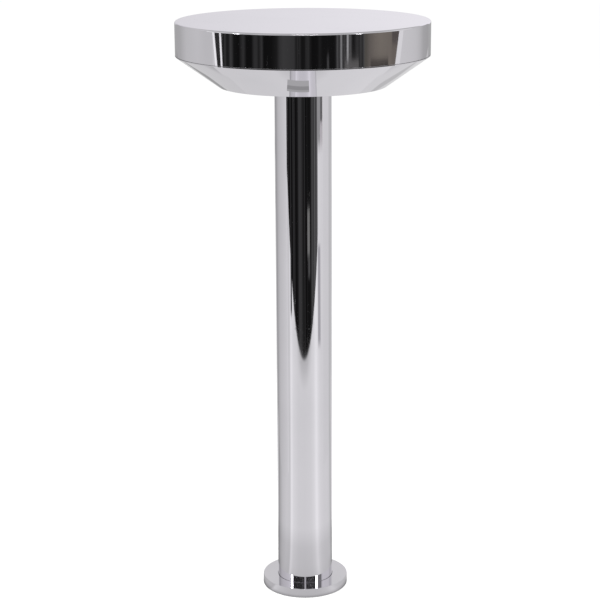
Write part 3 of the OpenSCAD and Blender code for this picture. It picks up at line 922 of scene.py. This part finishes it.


# The white paper on the floor, and the dark room past its edges. The tone that the steel shows is a painted
# reflection of the lit paper, with the lamps' painted sheen and painted shadows of the torch, and of the
# room. To every other ray it is plain white paper that keeps the torch's shadow.
floorValues = {
    "half": 20.0, "drop": -0.0005, "paper": (0.9, 0.9, 0.9, 1), "own": 0.62,
    # the paper's front and side edges, and how far it goes on the right
    "front": (-0.96, 0.012), "side": (2.45, 0.05), "rightFrom": (60.0, 1.0), "rightTo": (3.05, 0.1),
    # tones by the azimuth round the torch: 0 is the front, positive to the right; the brighter tones near -58
    # to -46 and 38 to 58 are the lamps' painted sheen on the paper
    "paperLitTones": {-180: 200, -150: 162, -138: 136, -125: 164, -105: 188, -80: 199, -62: 197, -58: 224,
                   -54: 225, -46: 213, -25: 204, 0: 203, 25: 206, 38: 214, 47: 226, 51: 227, 58: 217,
                   68: 209, 85: 204, 108: 203, 120: 198, 132: 172, 150: 164, 180: 200},
    # painted shadow round the foot: what is left of that near the foot, by the distance from the axis
    "footShadowShares": {0.049: 0.12, 0.0525: 0.56, 0.058: 0.77, 0.10: 0.82, 0.16: 0.85, 0.22: 1.0},
    # and a painted shadow close behind the foot, a tone of its own further behind it, and painted shade
    # towards the middle of the front edge
    "shadowCloseBehind": {"away": (0.11, 0.075), "aside": (95, 125), "share": 0.74},
    "behind": {"y": (0.14, 0.20), "aside": (140.0, 141.8), "tone": 204, "reach": 0.4, "sides": (0.93, 1.07)},
    "shade": {"y": (-0.79, -0.92), "aside": (32.0, 12.0), "share": 0.76},
    # doorways and lit walls in the room: left and middle, right, and the warm wall on the far right
    "roomLeft": {-74: 44, -73: 17, -72: 54, -69.8: 27, -67.7: 28, -65.6: 58, -63.5: 40, -62.5: 20,
                 -57.4: 14, -53: 47, -50: 15, -45: 16, -42.6: 45, -40.3: 45, -38.5: 27, -35.8: 50, -34: 15,
                 -27: 17, -22.5: 27, -19.9: 48, -16.8: 55, -7.5: 50, -5.6: 26, -4.5: 43, -3.6: 28,
                 -2.8: 41, -1.1: 20},
    "roomRight": {-1.1: 20, 1.5: 22, 2.3: 37, 4.9: 43, 5.9: 28, 8: 15, 12.6: 17, 14.3: 30, 16.9: 19,
                  27: 18, 28.5: 28, 30: 76, 31.7: 28, 33.4: 128, 34.6: 44, 36.2: 60, 37.9: 42, 39: 164,
                  40.6: 55, 41.7: 78, 43.2: 28, 45: 23, 48: 50, 50.1: 39, 51.3: 60, 53: 38, 54.9: 73},
    "roomSide": {54.9: (76, 74, 69), 57: (78, 75, 70), 60: (93, 88, 83), 66: (108, 102, 95),
                 72: (114, 108, 100), 82: (108, 102, 95), 86: (101, 95, 89), 100: (102, 96, 91)},
    "sideByDistance": {3.0: 1.7, 3.8: 1.6, 4.4: 0.6, 4.9: 1.0, 6.4: 1.0},
    # the near part of the room, on the right
    "nearWithin": 4.3,
    "nearRight": {26.5: 22, 30: 30, 32: 60, 38.5: 66, 41.8: 50, 44: 70, 46: 96, 48.2: 68, 50.3: 60,
                  54.7: 74, 56.4: 90, 57.6: 142, 70.5: 143, 71.8: 101, 82: 96},
    # furniture, between two azimuths and two distances
    "furniture": {
        "stand": {"azimuth": (15.2, 24.6), "away": (1.70, 2.2), "tone": (112, 112, 110)},
        "standFoot": {"azimuth": (18.0, 25.5), "away": (1.53, 1.70), "tone": (72, 72, 72)},
        "panel": {"azimuth": (71.0, 82.0), "away": (2.9, 3.48), "tone": (178, 175, 177)},
        "flex": {"azimuth": (20.8, 22.4), "away": (4.4, 5.36), "tone": (66, 66, 66)},
        "cabinet": {"azimuth": (36.5, 49.5), "away": (4.4, 5.27), "tone": (88, 87, 86)},
        "shelf": {"azimuth": (61.0, 80.0), "away": (4.4, 5.25), "tone": (66, 62, 59)},
        "curtain": {"azimuth": (84.5, 95.0), "away": (5.75, 7.0), "tone": (79, 74, 72)},
    },
    # how soft the edges of the room's parts are, in degrees, and of furniture and bars, in degrees and metres
    "roomSoft": {"right": 0.1, "side": 0.2, "near": 0.4},
    "furnitureSoft": (0.4, 0.04), "barSoft": (0.3, 0.03),
    # a dark bar and a grey one on the paper
    "bars": {
        "left": {"azimuth": (-56.1, -50.3), "away": (1.24, 1.76), "tone": (50, 50, 51)},
        "right": {"azimuth": (59.0, 71.0), "away": (1.04, 1.80), "tone": (161, 160, 163)},
    },
}


def drawn(tree, shown, azimuth, away, things, turnSoft, awaySoft):  # the things' tones over what is shown
    for thing in things.values():
        inside = times(tree, between(tree, azimuth, *thing["azimuth"], turnSoft),
                       between(tree, away, *thing["away"], awaySoft))
        shown = mixed(tree, inside, shown, (*seen(thing["tone"]), 1))
    return shown


def makeFloor():
    v = floorValues
    made, tree, parts = startBackdrop("paperFloor")
    azimuth = calc(tree, "DEGREES", calc(tree, "ARCTAN2", parts[0], times(tree, parts[1], -1.0)))
    aside = calc(tree, "ABSOLUTE", azimuth)
    away = fromAxis(tree, parts)
    # the lit paper with the lamps' painted sheen, times the painted shadow round the foot
    paper = times(tree, steelRamp(tree, azimuth, v["paperLitTones"]), ramp(tree, away, v["footShadowShares"]))
    # painted shadow on the paper close behind the foot
    close = v["shadowCloseBehind"]
    inShadowCloseBehind = times(tree, spread(tree, away, *close["away"]), spread(tree, aside, *close["aside"]))
    paper = times(tree, paper, lowered(tree, inShadowCloseBehind, close["share"]))
    back = v["behind"]
    sideways = spread(tree, parts[0], -back["reach"], back["reach"], *back["sides"])
    isBehind = times(tree, spread(tree, parts[1], *back["y"]), spread(tree, aside, *back["aside"]))
    paper = blended(tree, isBehind, paper, times(tree, sideways, seen(back["tone"])))
    # painted shade on the paper towards the middle of the front edge
    shade = v["shade"]
    isShaded = times(tree, spread(tree, parts[1], *shade["y"]), spread(tree, aside, *shade["aside"]))
    paper = times(tree, paper, lowered(tree, isShaded, shade["share"]))

    room, soft = steelRamp(tree, azimuth, v["roomLeft"]), v["roomSoft"]
    isRight = past(tree, azimuth, min(v["roomRight"]), soft["right"])
    room = mixed(tree, isRight, room, steelRamp(tree, azimuth, v["roomRight"]))
    share = shareRamp(tree, away, v["sideByDistance"], most=3.0)
    side = {0: steelRamp(tree, azimuth, v["roomSide"]), "Scale": share}
    side = put(tree, "VectorMath", side, operation="SCALE").outputs[0]
    room = mixed(tree, past(tree, azimuth, min(v["roomSide"]), soft["side"]), room, side)
    near = v["nearRight"]
    isNear = times(tree, between(tree, azimuth, min(near), max(near), soft["near"]),
                   calc(tree, "LESS_THAN", away, v["nearWithin"]))
    room = mixed(tree, isNear, room, steelRamp(tree, azimuth, near))
    room = drawn(tree, room, azimuth, away, v["furniture"], *v["furnitureSoft"])

    inFront = times(tree, past(tree, parts[1], *v["front"]),
                    within(tree, calc(tree, "ABSOLUTE", parts[0]), *v["side"]))
    toRight = times(tree, past(tree, azimuth, *v["rightFrom"]), within(tree, away, *v["rightTo"]))
    shown = mixed(tree, calc(tree, "MAXIMUM", inFront, toRight), room, paper)
    shown = drawn(tree, shown, azimuth, away, v["bars"], *v["barSoft"])
    glow = put(tree, "Emission", {"Color": shown}).outputs[0]
    path = put(tree, "LightPath").outputs
    surface = put(tree, "BsdfDiffuse", {"Color": v["paper"]}).outputs[0]
    own = put(tree, "Emission", {"Strength": times(tree, path["Is Camera Ray"], v["own"])}).outputs[0]
    plain = put(tree, "AddShader", {0: surface, 1: own}).outputs[0]
    either = put(tree, "MixShader", {0: path["Is Glossy Ray"], 1: plain, 2: glow}).outputs[0]
    put(tree, "OutputMaterial", {0: either})
    addStage("paperFloor", levelCorners(-v["half"], -v["half"], v["half"], v["half"], v["drop"]), made)


# Cards of painted reflection: glowing cards that only show in the polished steel, with the light and shade of
# the studio's walls painted into their tones. Each upright card has a line on the floor, a height range, and
# tones along one axis. across is a share for each x, patches have a tone of their own, and shear moves the
# card's y with the height from the middle of the bowl's wall.
bowlMiddle = 0.605
evenAcross = {-0.6: 1.0, 0.6: 1.0}
patchSoft = {"x": 0.006, "z": 0.008}
cardValues = {
    "leftLow": {"line": ((-0.385, 0.55), (-0.385, -0.150)), "heights": (0.0, 0.56), "axis": 1,
                "tones": {-0.15: 214, -0.13: 202, -0.09: 199, 0.02: 192, 0.16: 184, 0.30: 168, 0.42: 150,
                          0.55: 138}},
    "leftHigh": {"line": ((-0.385, 0.55), (-0.385, -0.1284)), "heights": (0.56, 0.80), "axis": 1,
                 "shear": 0.45,
                 "tones": {-0.128: 196, -0.115: 184, -0.07: 184, 0.0: 188, 0.06: 185, 0.13: 182, 0.19: 174,
                           0.266: 164, 0.40: 160, 0.55: 157}},
    "leftEdge": {"line": ((-0.386, -0.129), (-0.386, -0.1450)), "heights": (0.56, 0.80), "axis": 2,
                 "shear": 0.45, "tones": {0.50: 232, 0.80: 232}},
    "leftStrip": {"line": ((-0.400, -0.1900), (-0.400, -0.1770)), "heights": (0.56, 0.80), "axis": 2,
                  "shear": 0.2, "tones": {0.50: 228, 0.80: 228}},
    "rightLow": {"line": ((0.44, -0.075), (0.44, 0.55)), "heights": (0.0, 0.56), "axis": 1,
                 "tones": {-0.075: 214, -0.06: 203, 0.05: 201, 0.24: 200, 0.27: 184, 0.45: 182, 0.55: 182}},
    "rightHigh": {"line": ((0.44, -0.072), (0.44, 0.55)), "heights": (0.56, 0.80), "axis": 1, "shear": 0.8,
                  "tones": {-0.072: 196, 0.014: 193, 0.06: 191, 0.111: 188, 0.177: 179, 0.267: 161,
                            0.428: 155, 0.55: 155}},
    "rightStrip": {"line": ((0.421, -0.088), (0.441, -0.044)), "heights": (0.56, 0.80), "axis": 2,
                   "shear": 0.8, "tones": {0.46: 211, 0.80: 211}},
    "backLow": {"line": ((0.60, 0.55), (-0.55, 0.55)), "heights": (0.0, 0.50), "axis": 2,
                "across": {-0.60: 0.54, -0.365: 0.56, -0.33: 0.95, 0.0: 1.0, 0.33: 1.05, 0.365: 0.85,
                           0.60: 0.84},
                "tones": {0.0: 198, 0.25: 197, 0.37: 198, 0.50: 206},
                "patches": {"leftFoot": {"x": (-0.42, -0.335), "z": (-0.02, 0.055), "tone": 198},
                            "rightFoot": {"x": (0.335, 0.42), "z": (-0.02, 0.055), "tone": 208},
                            "leftTop": {"x": (-0.60, -0.275), "z": (0.40, 0.60), "tone": 152},
                            "leftMark": {"x": (-0.252, -0.165), "z": (0.33, 0.435), "tone": 150},
                            "rightMark": {"x": (0.230, 0.284), "z": (0.19, 0.362), "tone": 180},
                            "rightTop": {"x": (0.33, 0.60), "z": (0.40, 0.60), "tone": 170}}},
    "backMiddle": {"line": ((0.60, 0.55), (-0.55, 0.55)), "heights": (0.50, 0.64), "axis": 2,
                   "tones": {0.50: 156, 0.60: 160, 0.64: 176}},
    "backHigh": {"line": ((0.60, 0.55), (-0.55, 0.55)), "heights": (0.64, 0.98), "axis": 2,
                 "across": {-0.60: 0.74, 0.0: 1.0, 0.60: 1.26},
                 "tones": {0.64: 188, 0.68: 213, 0.85: 216, 0.98: 210}, "tint": (0.997, 0.98, 1.025)},
    # a small level card under the front of the bowl, whose dark tones are a painted darker patch in what the
    # cone reflects there
    "darkPatchUnderBowl": {"line": ((-0.0182, -0.1098), (0.0069, -0.0963)), "level": 0.586, "axis": 1,
                  "tones": {-0.1098: 161, -0.1035: 161, -0.1030: 138, -0.0990: 138, -0.0985: 158,
                            -0.0963: 158}},
}


def addCard(name, made, tree, corners, **glow):
    put(tree, "OutputMaterial", {0: put(tree, "Emission", glow).outputs[0]})
    card = addStage(name, corners, made)
    card.visible_camera = card.visible_diffuse = card.visible_shadow = False
    card.visible_transmission = card.visible_volume_scatter = False


def makeCards():
    for name, v in cardValues.items():
        made, tree, parts = startBackdrop(name)
        tone = steelRamp(tree, parts[v["axis"]], v["tones"])
        strength = shareRamp(tree, parts[0], v.get("across", evenAcross), most=2.0)
        for patch in v.get("patches", {}).values():
            inside = times(tree, between(tree, parts[0], *patch["x"], patchSoft["x"]),
                           between(tree, parts[2], *patch["z"], patchSoft["z"]))
            tone = mixed(tree, inside, tone, (seen(patch["tone"]),) * 3 + (1,))
            strength = blended(tree, inside, strength, 1.0)
        if "tint" in v:
            tone = put(tree, "VectorMath", {0: tone, 1: v["tint"]}, operation="MULTIPLY").outputs[0]
        (x0, y0), (x1, y1) = v["line"]
        if "level" in v:
            corners = levelCorners(x0, y0, x1, y1, v["level"])
        else:
            z0, z1 = v["heights"]
            low, high = (v.get("shear", 0.0) * (z - bowlMiddle) for z in (z0, z1))
            corners = [(x0, y0 + low, z0), (x1, y1 + low, z0), (x1, y1 + high, z1), (x0, y0 + high, z1)]
        addCard(name, made, tree, corners, Color=tone, Strength=strength)


# Lamps stand round the front: azimuth and distance from the torch, heights and width in metres. A veil hangs
# in front of each, so that the mirror finish shows a pale panel there, from a height up.
veilValues = {"gap": 0.04, "margin": 0.03, "from": 0.80, "tone": 206}
lampValues = {
    "leftLamp": {"azimuth": -58.0, "away": 1.7, "heights": (0.73, 1.55), "width": 0.20, "watts": 7.0},
    "rightLamp": {"azimuth": 48.5, "away": 1.7, "heights": (0.73, 1.55), "width": 0.17, "watts": 6.0},
    "overheadLamp": {"azimuth": 1.5, "away": 1.3, "heights": (1.60, 1.90), "width": 0.55, "watts": 8.0},
}


def makeLamps():
    veil = veilValues
    for name, v in lampValues.items():
        (low, high), turn = v["heights"], math.radians(v["azimuth"])
        data = bpy.data.lights.new(name, "AREA")
        data.shape, data.size, data.size_y = "RECTANGLE", v["width"], high - low
        data.energy = v["watts"]
        lamp = bpy.data.objects.new(name, data)
        scene.collection.objects.link(lamp)
        lamp.location = (v["away"] * math.sin(turn), -v["away"] * math.cos(turn), (low + high) / 2)
        lamp.rotation_euler = (math.radians(90), 0, turn)
        lamp.visible_camera = False
        made, tree = startMaterial(name + "Veil")
        out = Vector((math.sin(turn), -math.cos(turn), 0.0)) * (v["away"] - veil["gap"])
        aside = Vector((math.cos(turn), math.sin(turn), 0.0)) * (v["width"] / 2 + veil["margin"])
        low, high = max(low, veil["from"]), high + veil["margin"]
        sides = ((-1, low), (1, low), (1, high), (-1, high))
        corners = [out + aside * side + Vector((0, 0, z)) for side, z in sides]
        addCard(name + "Veil", made, tree, corners, Strength=seen(veil["tone"]))


# Above the floor the room is pale, with a dark opening in front, a narrow post in it and a grey wall on its
# right. They lie where the sine of the height above the horizon is within up, and each has the cosines of
# its azimuths. The last number of each is how soft its edge is. backToSide, frontFrom, frontUp and topFrom
# are where one level turns into the next, as such cosines and sines.
worldValues = {"ambient": 0.55, "sideLevel": 0.95, "backLevel": 0.85, "backToSide": (-0.6, 0.2),
               "frontLevel": 0.50, "frontFrom": (0.0, 0.5), "frontUp": (0.39, 0.29), "top": 0.55,
               "topFrom": (0.3, 1.0), "patches": 2.4, "uneven": (0.3, 0.7, 0.80, 1.18),
               "up": (0.390, 0.438, 0.006), "opening": (0.56, 0.04), "openingLevel": 0.03,
               "post": (0.9982, 0.0004), "postLevel": 0.62, "wall": (0.27, 0.535, 0.02), "wallLevel": 0.24}


def makeWorld():
    v = worldValues
    world = bpy.data.worlds.new("studio")
    scene.world = world
    world.use_nodes = True
    tree = world.node_tree
    tree.nodes.clear()
    around = put(tree, "TexCoord").outputs["Generated"]
    parts = put(tree, "SeparateXYZ", {0: around}).outputs
    level = calc(tree, "MAXIMUM", fromAxis(tree, parts), 0.01)
    facing = times(tree, calc(tree, "DIVIDE", parts[1], level), -1.0)  # cosine of the azimuth from the front
    pale = times(tree, spread(tree, facing, *v["backToSide"], v["backLevel"], v["sideLevel"]),
                 spread(tree, parts[2], *v["topFrom"], 1.0, v["top"]))
    isLow = times(tree, spread(tree, facing, *v["frontFrom"]), spread(tree, parts[2], *v["frontUp"]))
    pale = blended(tree, isLow, pale, v["frontLevel"])
    uneven = noise(tree, around, v["patches"], detail=1.0)
    pale = times(tree, pale, spread(tree, uneven, *v["uneven"]))
    isLevel = between(tree, parts[2], *v["up"])
    isWall = times(tree, between(tree, facing, *v["wall"]), calc(tree, "GREATER_THAN", parts[0], 0.0))
    inside = blended(tree, past(tree, facing, *v["post"]), v["openingLevel"], v["postLevel"])
    room = blended(tree, times(tree, isLevel, isWall), pale, v["wallLevel"])
    room = blended(tree, times(tree, isLevel, past(tree, facing, *v["opening"])), room, inside)
    path = put(tree, "LightPath").outputs
    strength = blended(tree, path["Is Glossy Ray"], v["ambient"], room)
    strength = blended(tree, path["Is Camera Ray"], strength, 1.0)
    put(tree, "OutputWorld", {0: put(tree, "Background", {"Strength": strength}).outputs[0]})


makeFloor()
makeCards()
makeLamps()
makeWorld()
print("stage made")
